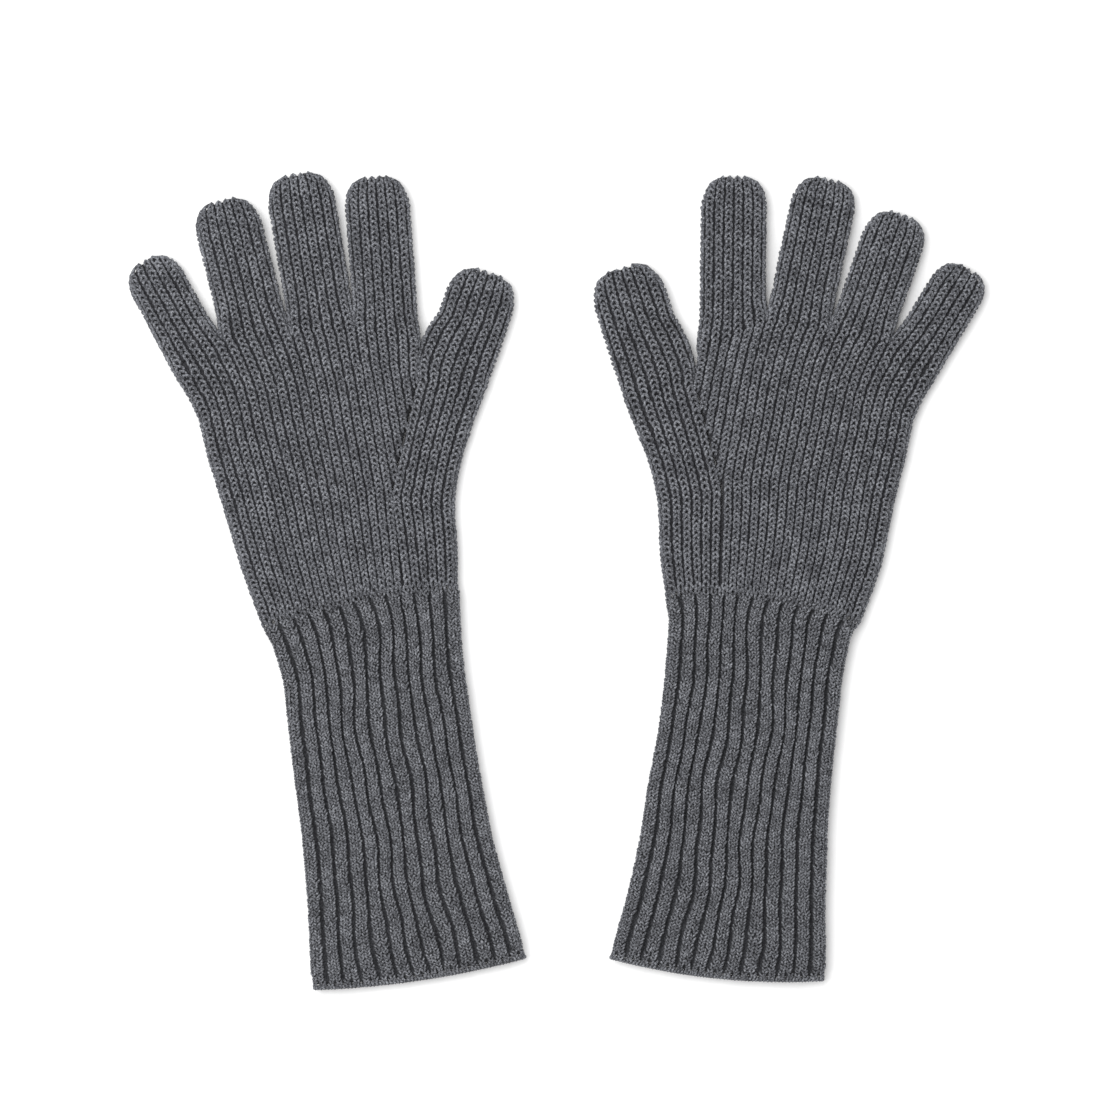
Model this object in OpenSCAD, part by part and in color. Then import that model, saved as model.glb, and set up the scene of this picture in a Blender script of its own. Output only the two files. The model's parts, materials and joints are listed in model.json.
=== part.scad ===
// A pair of knitted gloves with long ribbed cuffs, lying flat side by side.
// Each glove is drawn in its own frame: the origin is the middle of the wrist on the
// table, +Y runs to the fingertips and +X to the thumb. The right glove is mirrored.

/* [Gloves] */
// Width of the hand across the four finger roots
hand_w = 95; // [78:1:115]
// Length of the hand, from the wrist to the root of the middle finger
hand_l = 112; // [93:1:135]
// Length of the ribbed cuff, from the wrist to the hem
cuff_l = 139; // [90:1:180]
// Length of the left middle finger, which sets the length of every digit
middle_l = 62; // [50:1:75]
// Distance between the wrists of the two gloves
pair_pitch = 156.4; // [150:0.1:260]

/* [Knit] */
// Thickness of a glove lying flat: two layers and the space for the hand
loft = 9.5; // [9:0.5:13]
// Thickness of one layer of knit
wall = 2; // [1.5:0.1:2.4]
// Length of the join course between the rib and the plain knit
join_l = 2.6; // [1.5:0.1:4]
// Length of the cast-on edge at the hem
edge_l = 3; // [2:0.5:6]
// How far the join course and the cast-on edge stand over the knit
proud = 0.4; // [0.2:0.1:0.8]
// Gap between pieces that fold apart
gap = 0.4; // [0.3:0.1:0.8]

/* [Layout] */
// Lean of the left glove's four fingers, little finger first, positive to the thumb
left_lean = [-28.5, -14.3, -9.5, -4.2]; // [-35:0.5:20]
// Lean of the left thumb
left_thumb_lean = 18.5; // [10:0.5:35]
// Lean of the right glove's four fingers, little finger first, positive to the thumb
right_lean = [-31.5, -19.5, -12, -0.7]; // [-35:0.5:20]
// Lean of the right thumb
right_thumb_lean = 17.5; // [10:0.5:35]

/* [Hidden] */

// The outlines below are drawn for a hand of this width and length and a cuff of this length.
pattern_w = 95;
pattern_l = 112;
pattern_cuff_l = 139;
pattern_middle_l = 62;
across_scale = hand_w / pattern_w;
along_scale = hand_l / pattern_l;
cuff_scale = cuff_l / pattern_cuff_l;
digit_scale = middle_l / pattern_middle_l;

arc_n = 5;          // points on each rounded side of a section
tip_steps = 4;      // sections that round a fingertip
tip_flat = 0.38;    // width left across the end of a fingertip, as a share
tip_low = 0.72;     // thickness left at the end of a fingertip, as a share
tip_round = 0.92;   // radius of a fingertip, as a share of the digit's half width
tip_layer = 1.5;    // thickness of the knit at a fingertip, as a share of a layer
swell_l = 24;       // length over which a digit widens from its root
swell_steps = 3;    // sections over that length
over = 14;          // how far cutting outlines reach past the knit
side_over = 42;     // how far they reach past the sides of the hand
palm_over = 70;     // how far the gusset's outline reaches across the palm
knit_colour = [0.36, 0.36, 0.39];
rib_colour = [0.33, 0.33, 0.36];
edge_colour = [0.28, 0.28, 0.31];

// Each side is [edge along the little finger, edge along the thumb], from wrist to root.
left_hand_edges = [
    [[-40.4, -2.6], [36.6, 12.2]],
    [[-48.4, 19.5], [36.7, 26]],
    [[-56.5, 46.8], [35.7, 44.5]],
    [[-60.8, 60.5], [38.3, 60.5]],
    [[-66.8, 81.5], [43.2, 75.5]],
    [[-75.6, 96.2], [48, 88]],
    [[-92, 126], [62, 120]]
];
right_hand_edges = [
    [[-37.9, -1.4], [39, 9.1]],
    [[-45.3, 19.1], [41, 22.2]],
    [[-51.2, 46.8], [42.4, 46]],
    [[-54.7, 60.5], [45.8, 60.5]],
    [[-60.2, 81.5], [51.7, 77]],
    [[-68.3, 95.2], [55.6, 88]],
    [[-87, 125], [68, 120]]
];

// The same for each cuff, from wrist to hem.
left_cuff_edges = [
    [[-40.4, -2.6], [36.6, 12.2]],
    [[-36.7, -9], [36.9, 3]],
    [[-32.6, -20.3], [38, -14]],
    [[-28.9, -44.5], [41.6, -40]],
    [[-25.8, -69.4], [45.2, -64]],
    [[-22.9, -95.6], [50.1, -88]],
    [[-21.1, -121.7], [56.6, -111.2]],
    [[-19.9, -145.5], [63.2, -133.4]]
];
right_cuff_edges = [
    [[-37.9, -1.4], [39, 9.1]],
    [[-34, -6.5], [37.3, 1]],
    [[-31.3, -17], [38, -15]],
    [[-28.1, -38.5], [40.8, -41]],
    [[-25.2, -64], [45, -65.5]],
    [[-23.8, -90], [49.2, -90.5]],
    [[-23.2, -115], [54.6, -113]],
    [[-23.2, -142], [60.6, -133.6]]
];

// The forks between the fingers, from the little finger's outer side to the thumb's side.
left_forks = [[-75.6, 96.2], [-55.4, 108], [-28.5, 110.4], [-3.5, 113.1], [21.5, 105.7]];
right_forks = [[-68.3, 95.2], [-48.4, 106.1], [-24.6, 111.2], [-0.4, 115.1], [26.1, 103.4]];

// The thumb's root, inner and outer end, and the point where its gusset starts.
left_thumb_root = [[21.5, 94.2], [46.6, 85.5]];
right_thumb_root = [[28, 92.7], [55, 84.2]];
left_apex = [10.5, 46.8];
right_apex = [16.8, 49.9];

// Length and width of each digit: little, ring, middle, index, thumb.
left_digit_l = [42, 55, 62, 62.5, 47];
left_digit_w = [22, 26.4, 26.6, 25.6, 28];
right_digit_l = [41, 51.2, 59, 62.6, 50];
right_digit_w = [22.4, 24.8, 25.6, 26, 29.4];

// ---- placing the outlines ----

function hand_point(p) = [p[0] * across_scale, p[1] * along_scale];
function hand_points(list) = [for (p = list) hand_point(p)];
function hand_stations(edges) = [for (e = edges) hand_points(e)];

// The cuff keeps the wrist's own line and only its length past that line is scaled.
function cuff_point(p, wrist) =
    [p[0] * across_scale, wrist[1] * along_scale + (p[1] - wrist[1]) * cuff_scale];
function cuff_stations(edges) =
    [for (e = edges) [cuff_point(e[0], edges[0][0]), cuff_point(e[1], edges[0][1])]];

function unit(v) = v / norm(v);
function heading(lean) = [sin(lean), cos(lean)];
function across(lean) = [cos(lean), -sin(lean)];
function middle(pair) = (pair[0] + pair[1]) / 2;

// The root of a digit between two forks, laid square to the digit's lean: [inner, outer].
function root_ends(pair, lean) =
    let (half = abs((pair[1] - pair[0]) * across(lean)) / 2)
    [middle(pair) - half * across(lean), middle(pair) + half * across(lean)];

// ---- sections and shells ----

// A flat section with round sides between two edge points, listed anticlockwise.
function section(ends, low, high) =
    let (side = unit(ends[1] - ends[0]), r = (high - low) / 2, z = (low + high) / 2)
    concat(
        [for (i = [0:arc_n - 1]) let (t = -90 + 180 * i / (arc_n - 1))
            [ends[1][0] - r * (1 - cos(t)) * side[0],
             ends[1][1] - r * (1 - cos(t)) * side[1], z + r * sin(t)]],
        [for (i = [0:arc_n - 1]) let (t = 90 + 180 * i / (arc_n - 1))
            [ends[0][0] + r * (1 + cos(t)) * side[0],
             ends[0][1] + r * (1 + cos(t)) * side[1], z + r * sin(t)]]
    );

// A station moved inwards from both edges, for the inside of a layer.
function inset(ends, by) =
    let (side = unit(ends[1] - ends[0]))
    [ends[0] + by * side, ends[1] - by * side];

// A station moved along the piece, square to the line between its edges.
function shifted(ends, by) =
    let (side = unit(ends[1] - ends[0]), along = [-side[1], side[0]])
    [ends[0] + by * along, ends[1] + by * along];

function band(n, from, to, outward) = [
    for (i = [0:n - 1])
        let (j = (i + 1) % n)
        each outward
            ? [[from + i, from + j, to + j], [from + i, to + j, to + i]]
            : [[from + i, to + j, from + j], [from + i, to + i, to + j]]
];
function cap(n, from, outward) =
    [for (i = [1:n - 2]) outward ? [from, from + i, from + i + 1] : [from, from + i + 1, from + i]];

// A tube of knit. Its far end is closed when it is a digit.
module knit_tube(outer, inner, closed) {
    n = 2 * arc_n;
    outer_last = n * (len(outer) - 1);
    inner_first = n * len(outer);
    inner_last = inner_first + n * (len(inner) - 1);
    outer_side = [for (k = [0:len(outer) - 2]) each band(n, n * k, n * (k + 1), true)];
    inner_side = [for (k = [0:len(inner) - 2])
        each band(n, inner_first + n * k, inner_first + n * (k + 1), false)];
    near_end = band(n, 0, inner_first, false);
    far_end = closed
        ? concat(cap(n, outer_last, true), cap(n, inner_last, false))
        : band(n, outer_last, inner_last, true);
    polyhedron(
        points = [each for (s = concat(outer, inner)) s],
        faces = concat(outer_side, inner_side, near_end, far_end)
    );
}

// An open tube through a list of stations.
module open_tube(stations, rise = 0) {
    knit_tube(
        [for (s = stations) section(s, 0, loft + rise)],
        [for (s = stations) section(inset(s, wall), wall, loft - wall)],
        false
    );
}

// ---- digits ----

// Half the width of a digit at a distance from its root.
function half_at(root_half, full_half, s) =
    root_half + (full_half - root_half) * sin(90 * min(1, s / swell_l));

// Stations of a digit: [distance from the root, half width, share of the full thickness].
function digit_stations(root_half, full_half, len, tip_r) =
    concat(
        [for (k = [0:swell_steps]) let (s = k * swell_l / swell_steps)
            if (s < len - tip_r - 1) [s, half_at(root_half, full_half, s), 1]],
        [for (k = [0:tip_steps]) let (a = 90 * k / tip_steps)
            [len - tip_r + tip_r * sin(a),
             half_at(root_half, full_half, len) * (tip_flat + (1 - tip_flat) * cos(a)),
             1 - (1 - tip_low) * (1 - cos(a))]]
    );

// The same stations on the table: [edge ends, share of the full thickness].
function placed(stations, at, lean) = [
    for (s = stations)
        let (p = at + s[0] * heading(lean))
        [[p - s[1] * across(lean), p + s[1] * across(lean)], s[2]]
];

// Everything that sets a digit's shape: [start point, root half width, full half width,
// length, radius of the tip].
function digit_sizes(pair, lean, len, width) =
    let (ends = root_ends(pair, lean), full_half = width * across_scale / 2)
    [middle(ends) + gap * heading(lean), norm(ends[1] - ends[0]) / 2 - gap, full_half,
     len * digit_scale - gap, full_half * tip_round];

// The outline of a digit, set in by a layer's thickness for its inside.
function digit_outline(pair, lean, len, width, layer = 0) =
    let (d = digit_sizes(pair, lean, len, width))
    placed(digit_stations(d[1] - layer, d[2] - layer, d[3] - tip_layer * layer, d[4] - layer),
        d[0], lean);

module digit(pair, lean, len, width) {
    outer = digit_outline(pair, lean, len, width);
    inner = digit_outline(pair, lean, len, width, wall);
    knit_tube(
        [for (s = outer) section(s[0], 0, loft * s[1])],
        [for (s = inner) section(s[0], wall, loft * s[1] - wall)],
        true
    );
}

// ---- hand, gusset, join and cuff ----

// The plan of the hand, cut off square at the root of every digit.
module hand_plan(forks, lean, thumb_root, thumb_lean) {
    roots = [for (i = [0:3]) root_ends([forks[i], forks[i + 1]], lean[i])];
    thumb = root_ends(thumb_root, thumb_lean);
    far_little = roots[0][0] - side_over * across(lean[0]);
    far_thumb = thumb[1] + side_over * across(thumb_lean);
    polygon(concat(
        [[far_little[0], -over - loft], far_little],
        [for (r = roots) each r],
        [thumb[0], far_thumb, [far_thumb[0], -over - loft]]
    ));
}

// The plan of the gusset: from the line where the palm's stitches end out past the thumb.
module gusset_plan(thumb_root, apex, thumb_lean) {
    inner = root_ends(thumb_root, thumb_lean)[0];
    polygon([
        apex, [apex[0] + palm_over, apex[1]], [apex[0] + palm_over, inner[1] + over],
        inner + over * heading(thumb_lean), inner
    ]);
}

module whole_hand(edges, forks, lean, thumb_root, thumb_lean) {
    intersection() {
        open_tube(hand_stations(edges));
        translate([0, 0, -over])
            linear_extrude(loft + 2 * over)
                hand_plan(hand_points(forks), lean, hand_points(thumb_root), thumb_lean);
    }
}

module hand(edges, forks, lean, thumb_root, thumb_lean, apex) {
    color(knit_colour)
    difference() {
        whole_hand(edges, forks, lean, thumb_root, thumb_lean);
        translate([0, 0, -over])
            linear_extrude(loft + 2 * over)
                gusset_plan(hand_points(thumb_root), hand_point(apex), thumb_lean);
    }
}

module thumb_gusset(edges, forks, lean, thumb_root, thumb_lean, apex) {
    color(knit_colour)
    intersection() {
        whole_hand(edges, forks, lean, thumb_root, thumb_lean);
        translate([0, 0, -over])
            linear_extrude(loft + 2 * over)
                gusset_plan(hand_points(thumb_root), hand_point(apex), thumb_lean);
    }
}

module wrist_join(edges) {
    wrist = hand_points(edges[0]);
    color(edge_colour) open_tube([wrist, shifted(wrist, -join_l)], proud);
}

// The cuff starts a gap below the join and stops where the cast-on edge begins.
function cuff_body(edges) =
    let (all = cuff_stations(edges), last = len(all) - 1,
        start = shifted(all[0], -join_l - gap))
    concat([start], [for (i = [1:last - 1]) all[i]], [shifted(all[last], edge_l)]);

module cuff(edges) {
    color(rib_colour) open_tube(cuff_body(edges));
}

module cuff_edge(edges) {
    all = cuff_stations(edges);
    hem = all[len(all) - 1];
    color(edge_colour) open_tube([shifted(hem, edge_l), hem], proud);
}

// ---- the pair, centred on the origin ----

// The outermost points of one glove in its own frame: its hem and its five digits.
function reach(forks, lean, thumb_root, thumb_lean, digit_l, digit_w, cuff_edges) = concat(
    cuff_stations(cuff_edges)[len(cuff_edges) - 1],
    [for (i = [0:3])
        for (s = digit_outline(hand_points([forks[i], forks[i + 1]]), lean[i], digit_l[i],
            digit_w[i])) each s[0]],
    [for (s = digit_outline(hand_points(thumb_root), thumb_lean, digit_l[4], digit_w[4]))
        each s[0]]
);

left_reach = reach(left_forks, left_lean, left_thumb_root, left_thumb_lean, left_digit_l,
    left_digit_w, left_cuff_edges);
right_reach = reach(right_forks, right_lean, right_thumb_root, right_thumb_lean,
    right_digit_l, right_digit_w, right_cuff_edges);
left_x = min([for (p = left_reach) p[0]]) - pair_pitch / 2;
right_x = pair_pitch / 2 - min([for (p = right_reach) p[0]]);
all_y = [for (p = concat(left_reach, right_reach)) p[1]];
centre = [(left_x + right_x) / 2, (min(all_y) + max(all_y)) / 2, 0];

module place_left() {
    translate([-pair_pitch / 2, 0, 0] - centre) children();
}

module place_right() {
    translate([pair_pitch / 2, 0, 0] - centre) mirror([1, 0, 0]) children();
}

// ---- left glove ----

module left_finger(i) {
    place_left() color(knit_colour)
        digit(hand_points([left_forks[i], left_forks[i + 1]]), left_lean[i],
            left_digit_l[i], left_digit_w[i]);
}

module left_hand() {
    place_left() hand(left_hand_edges, left_forks, left_lean, left_thumb_root,
        left_thumb_lean, left_apex);
}

module left_thumb_gusset() {
    place_left() thumb_gusset(left_hand_edges, left_forks, left_lean, left_thumb_root,
        left_thumb_lean, left_apex);
}

module left_wrist_join() {
    place_left() wrist_join(left_hand_edges);
}

module left_cuff() {
    place_left() cuff(left_cuff_edges);
}

module left_cuff_edge() {
    place_left() cuff_edge(left_cuff_edges);
}

module left_thumb() {
    place_left() color(knit_colour)
        digit(hand_points(left_thumb_root), left_thumb_lean, left_digit_l[4], left_digit_w[4]);
}

module left_index() {
    left_finger(3);
}

module left_middle() {
    left_finger(2);
}

module left_ring() {
    left_finger(1);
}

module left_little() {
    left_finger(0);
}

// ---- right glove ----

module right_finger(i) {
    place_right() color(knit_colour)
        digit(hand_points([right_forks[i], right_forks[i + 1]]), right_lean[i],
            right_digit_l[i], right_digit_w[i]);
}

module right_hand() {
    place_right() hand(right_hand_edges, right_forks, right_lean, right_thumb_root,
        right_thumb_lean, right_apex);
}

module right_thumb_gusset() {
    place_right() thumb_gusset(right_hand_edges, right_forks, right_lean, right_thumb_root,
        right_thumb_lean, right_apex);
}

module right_wrist_join() {
    place_right() wrist_join(right_hand_edges);
}

module right_cuff() {
    place_right() cuff(right_cuff_edges);
}

module right_cuff_edge() {
    place_right() cuff_edge(right_cuff_edges);
}

module right_thumb() {
    place_right() color(knit_colour)
        digit(hand_points(right_thumb_root), right_thumb_lean, right_digit_l[4],
            right_digit_w[4]);
}

module right_index() {
    right_finger(3);
}

module right_middle() {
    right_finger(2);
}

module right_ring() {
    right_finger(1);
}

module right_little() {
    right_finger(0);
}

left_hand();
left_thumb_gusset();
left_wrist_join();
left_cuff();
left_cuff_edge();
left_thumb();
left_index();
left_middle();
left_ring();
left_little();
right_hand();
right_thumb_gusset();
right_wrist_join();
right_cuff();
right_cuff_edge();
right_thumb();
right_index();
right_middle();
right_ring();
right_little();
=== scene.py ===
"""A pair of knitted gloves with long ribbed cuffs, in heather grey, laid flat side by side.

Each glove is knitted in its own flat frame, in millimetres: +X to the thumb, +Y to the fingertips and
the origin at the middle of the wrist. Every piece is a sheet of two parameters, u in wales (columns of
stitches) and v in courses (rows), and each stitch is a yarn carried along a path on that sheet.
"""
import json
import math

import bpy
import numpy as np
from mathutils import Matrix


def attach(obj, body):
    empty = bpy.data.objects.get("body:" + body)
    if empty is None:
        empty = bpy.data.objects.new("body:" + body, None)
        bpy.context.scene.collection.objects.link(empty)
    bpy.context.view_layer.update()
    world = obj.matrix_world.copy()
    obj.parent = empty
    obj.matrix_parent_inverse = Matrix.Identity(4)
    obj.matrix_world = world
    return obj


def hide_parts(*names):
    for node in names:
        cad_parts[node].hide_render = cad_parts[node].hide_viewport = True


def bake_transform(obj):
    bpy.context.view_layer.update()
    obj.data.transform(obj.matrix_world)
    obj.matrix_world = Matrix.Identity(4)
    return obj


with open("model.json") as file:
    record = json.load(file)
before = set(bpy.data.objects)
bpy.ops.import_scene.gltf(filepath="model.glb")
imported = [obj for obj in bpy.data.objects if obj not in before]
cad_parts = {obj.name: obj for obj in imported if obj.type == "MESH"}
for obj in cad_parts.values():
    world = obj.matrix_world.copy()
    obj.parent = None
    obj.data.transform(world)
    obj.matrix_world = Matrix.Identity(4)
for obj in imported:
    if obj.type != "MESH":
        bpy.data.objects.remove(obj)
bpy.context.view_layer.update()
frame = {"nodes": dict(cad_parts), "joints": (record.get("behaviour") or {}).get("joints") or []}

MM = 0.001
JOINTS = {joint["name"]: joint for joint in frame["joints"]}

# ---- knit: driving sizes, in millimetres ----
YARN = 1.25                     # thickness of the plain knit's yarn
WALE = 3.75                     # width of one column of plain stitches
COURSE = 2.12                   # height of one row of plain stitches
RIB = 5.8                       # width of one rib of the cuff
RIB_YARN = 0.95                 # thickness of the yarn in the rib, pulled tighter
RIB_COURSE = 1.2                # height of one row of the rib
RIB_RISE = 1.9                  # how far a rib stands over its groove
FLOOR_GAP = 0.15                # space left under the lowest stitch
THICK = 8.6                     # thickness of a glove lying flat
EDGE = 4.2                      # how far in from its edge the knit rounds over
MID = FLOOR_GAP + THICK / 2
RISE = THICK / 2 - 1.4 * YARN   # height of the sheet over the middle
LINING = 0.55 * YARN            # how far the dark inside, a sheet of painted shade, lies under the sheet
CREASE = 1.1                    # depth of the crease where the palm's stitches end
WAVES = 0.35                    # height of the gentle waves in the sheet
INSET = 0.8                     # from the outline in to the middle of the yarn
MORPH = 13.0                    # length over which a digit rounds from its root
WEB = 26.0                      # length over which the thumb's inner side is full
SWELL = 24.0                    # length over which a digit widens from its root
TIP_ROUND = 0.92                # radius of a fingertip, as a share of the digit's half width
TIP_FLAT = 0.38                 # width left across the end of a fingertip, as a share
TIP_REACH = 0.9                 # from the end of the last stitch to the end of the digit
RIBS = 13                       # ribs across one face of the cuff
HEM = 3.0                       # length of the cast-on edge
JOIN = 2.6                      # length of the join between rib and plain knit
RIB_LIFT = 0.35                 # how far the ribs' backs stand over the plain knit's sheet
SWAY = 0.35                     # how far the ribs wander sideways, in ribs
RIB_LINING = 0.45               # how far the dark inside, a sheet of painted shade seen in the grooves, lies under the ribs' sheet
WRIST_WALES = 24                # columns of plain stitches across one face of the wrist
YARN_SIDES = 5                  # sides of the plain knit's yarn, seen end on
RIB_SIDES = 4                   # sides of the rib's yarn, seen end on
OFF_WIDTH = 0.08                # usual error of a stitch's width, as a share
OFF_ACROSS = 0.025              # usual error of its place across, in columns
OFF_UP = 0.07                   # usual error of its place along, in rows
OFF_HEIGHT = 0.06               # usual error of its height, in yarn thicknesses
OFF_YARN = 0.05                 # usual error of its yarn's thickness, as a share
SLACK_WAVES = (64.0, 41.0, 27.0, 19.0)  # lengths of the gentle waves

# ---- palm and digits: finer sizes, in millimetres or as said ----
EDGE_STAND = 0.45               # height of an edge's stitches, as a share of the others'
PALM_PAST = 0.05                # how far a palm stitch may pass the gusset's line, in wales
CREASE_WIDE = 1.8               # half width of the crease's bell
NOTCH_START = 0.4               # run of the rounding already done at the thumb's fork
ROWS_TALLER = 1.06              # height of the palm's rows, as a share of the digits'
TURN_UNDER = 1.5                # how far a palm or gusset sheet runs on round its edge, in wales
OVAL_STEPS = 240                # chords round a digit's oval
OVAL_POWER = 2.5                # power of a digit's oval; 2 is an ellipse
TIP_DROP = 0.93                 # share of its squared height that a digit loses at its end
TIP_POWER = 2.6                 # power that keeps a fingertip's height full until late
PITCH_GIVE = 0.4                # share of a fingertip's narrowing that its columns take up
WEB_POWER = 0.85                # power that moves the thumb's fullest place to its root
SIDE_CLEAR = 0.45               # least distance from a column to the one along a side, in wales

# ---- cuff: finer sizes, in millimetres or as said ----
RIB_STEPS = 14                  # steps across one rib
RIB_FLAT = 2.4                  # power that flattens a rib's back
RIB_FALL = 0.6                  # power that steepens its fall to the groove
RIB_LEFT = 0.25                 # share of the ribs' height left at the cast-on edge
RIB_FADE = (0.6 * HEM, 2.2 * HEM)       # from the hem, where the ribs start and stop rising
VEES = (0.32, 0.68)             # places of the two columns of stitches in a rib, in ribs
HEM_FROM = 0.7                  # share of the cuff's length from which the hem's bow grows
WRIST_TO = 0.3                  # share of the cuff's length over which the wrist's bow fades
MOUTH_IN = 0.1                  # from the cuff's edges in to the inside of its lining, in ribs
MOUTH_WALL = 0.7                # thickness of the cuff's lining
LIP = 0.6                       # from the hem up to the cast-on edge's first row
LIP_POINTS = 8                  # points of the lip's line in a rib
LIP_SINK = 0.1                  # how far the lip's line lies before the first row and under it
LIP_OFF = 0.45                  # usual size of the small bumps in the lip, before they spread
LIP_SPREAD = 5                  # points of the lip that a bump is spread over
COIL_TURNS = 10                 # turns of the lip's yarn to a rib, both faces together
COIL_STEPS = 8                  # points in one turn
COIL_REACH = 0.6                # radius of the turns, in yarn thicknesses
JOIN_RIB = 0.35                 # share of the ribs' height left in the join
JOIN_WIDER = 4.0                # how much wider the join's columns reach than the ribs
JOIN_AT = 0.6                   # place of the join's row, as a share of its length
JOIN_TALL = 1.3                 # plain rows that the join's length holds
JOIN_STAND = 0.7                # height of a join stitch, as a share of a plain one's

# ---- seeds of the random draws ----
SEEDS = {"hand": 21, "gusset": 31, "digit": 40, "cuff": 61, "hem": 71, "join": 81}
SHEET_SEED = 11                 # waves of the palm, the gusset and the digits
CUFF_SEED = 13                  # waves of the cuff
SWAY_SEED = 17                  # wandering of the ribs

# ---- wool ----
FLECK = 1500                    # scale of the noise that makes the flecks
CLOUD = 12                      # how much broader the clouds are than the flecks
CLOUD_SHARE = 0.16              # weight of the clouds beside the flecks
FIBRES = (0.44, 0.57, 0.74)     # where the dark, body and light fibres lie in the mix

# ---- view ----
SKY = 0.74                      # strength of the even light from all round
VIEW_AT = (0.00126, 0.00771)    # point under the camera, in metres
VIEW_WIDE = 0.4368              # width of the view on the gloves, in metres

# ---- layout: the gloves' own plan, in millimetres ----
FINGERS = ("little", "ring", "middle", "index")
FINGER_WALES = {"little": 5, "ring": 6, "middle": 6, "index": 6, "thumb": 6}
MAIN_IN = 6.7                   # from the thumb edge of the wrist to the last palm stitch
GUSSET_IN = 21.0                # from the thumb edge of the wrist to the gusset's first stitch
MAIN_PAST = 18.4                # from the gusset's point to the last palm stitch beside it
GLOVES = {
    "left": {
        "turn": 1,
        "outer": [(-40.4, -2.6), (-48.4, 19.5), (-56.5, 46.8), (-60.8, 60.5), (-66.8, 81.5),
                  (-75.6, 96.2)],
        "thumb_side": [(36.6, 12.2), (36.7, 26), (35.7, 44.5), (38.3, 60.5), (43.2, 75.5),
                       (48, 88)],
        "cuff_outer": [(-40.4, -2.6), (-36.7, -9), (-32.6, -20.3), (-28.9, -44.5), (-25.8, -69.4),
                       (-22.9, -95.6), (-21.1, -121.7), (-19.9, -145.5)],
        "cuff_thumb": [(36.6, 12.2), (36.9, 3), (38, -14), (41.6, -40), (45.2, -64), (50.1, -88),
                       (56.6, -111.2), (63.2, -133.4)],
        "forks": [(-75.6, 96.2), (-55.4, 108), (-28.5, 110.4), (-3.5, 113.1), (21.5, 105.7)],
        "thumb_root": [(21.5, 94.2), (46.6, 85.5)],
        "point": (10.5, 46.8),
        "hem_bow": 2.3,
        "wrist_bow": 3.7,
        "thumb_web": 3.0,
    },
    "right": {
        "turn": -1,
        "outer": [(-37.9, -1.4), (-45.3, 19.1), (-51.2, 46.8), (-54.7, 60.5), (-60.2, 81.5),
                  (-68.3, 95.2)],
        "thumb_side": [(39, 9.1), (41, 22.2), (42.4, 46), (45.8, 60.5), (51.7, 77),
                       (55.6, 88)],
        "cuff_outer": [(-37.9, -1.4), (-34, -6.5), (-31.3, -17), (-28.1, -38.5), (-25.2, -64),
                       (-23.8, -90), (-23.2, -115), (-23.2, -142)],
        "cuff_thumb": [(39, 9.1), (37.3, 1), (38, -15), (40.8, -41), (45, -65.5), (49.2, -90.5),
                       (54.6, -113), (60.6, -133.6)],
        "forks": [(-68.3, 95.2), (-48.4, 106.1), (-24.6, 111.2), (-0.4, 115.1), (26.1, 103.4)],
        "thumb_root": [(28, 92.7), (55, 84.2)],
        "point": (16.8, 49.9),
        "hem_bow": 3.2,
        "wrist_bow": 5.5,
        "thumb_web": 2.4,
    },
}
WRIST_APART = 156.4             # between the wrists of the two gloves
CENTRE = (-3.013, 14.117)       # where the pair's middle lies in the gloves' own frame
DIGITS = FINGERS + ("thumb",)


# ---- placing ----

def to_glove(side, xy):
    """Metres in the frame to the glove's millimetres: undo the shift, and the mirror of the right."""
    turn = GLOVES[side]["turn"]
    xy = np.asarray(xy, float) / MM
    return np.stack([turn * (xy[..., 0] + CENTRE[0]) + WRIST_APART / 2, xy[..., 1] + CENTRE[1]], -1)


def to_frame(side, points):
    """The glove's millimetres to metres in the frame; the right glove is a mirror image."""
    turn = GLOVES[side]["turn"]
    x = turn * (points[..., 0] - WRIST_APART / 2) - CENTRE[0]
    return np.stack([x, points[..., 1] - CENTRE[1], points[..., 2]], -1) * MM


# ---- curves ----

def smooth(at, knots, values):
    """A cubic curve through knots: the slope at a knot is its mean slope, Hermite blend between."""
    knots = np.asarray(knots, float)
    values = np.asarray(values, float)
    slopes = np.gradient(values, knots)
    i = np.clip(np.searchsorted(knots, at, side="right") - 1, 0, len(knots) - 2)
    span = knots[i + 1] - knots[i]
    t = (at - knots[i]) / span
    return ((1 + 2 * t) * (1 - t) ** 2 * values[i] + t * (1 - t) ** 2 * span * slopes[i]
            + t * t * (3 - 2 * t) * values[i + 1] + t * t * (t - 1) * span * slopes[i + 1])


def ease(x, low, high):
    """0 up to low, 1 from high, and a smooth S between."""
    t = np.clip((x - low) / (high - low), 0, 1)
    return t * t * (3 - 2 * t)


def side_curve(points, t, last=None):
    """Points at shares t of a side's height, from its first point to last, on a smooth curve."""
    pts = np.asarray(points, float)
    order = np.argsort(pts[:, 1])
    end = pts[-1] if last is None else np.asarray(last, float)
    y = pts[0, 1] + (end[1] - pts[0, 1]) * t
    x = smooth(y, pts[order, 1], pts[order, 0])
    miss = end[0] - smooth(end[1], pts[order, 1], pts[order, 0])
    return np.stack([x + miss * ease(t, 0.6, 1.0), y], -1)


def by_height(line, y):
    """Points at heights y on a line of straight stretches that only rises."""
    line = np.asarray(line, float)
    return np.stack([np.interp(y, line[:, 1], line[:, 0]), y], -1)


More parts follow.
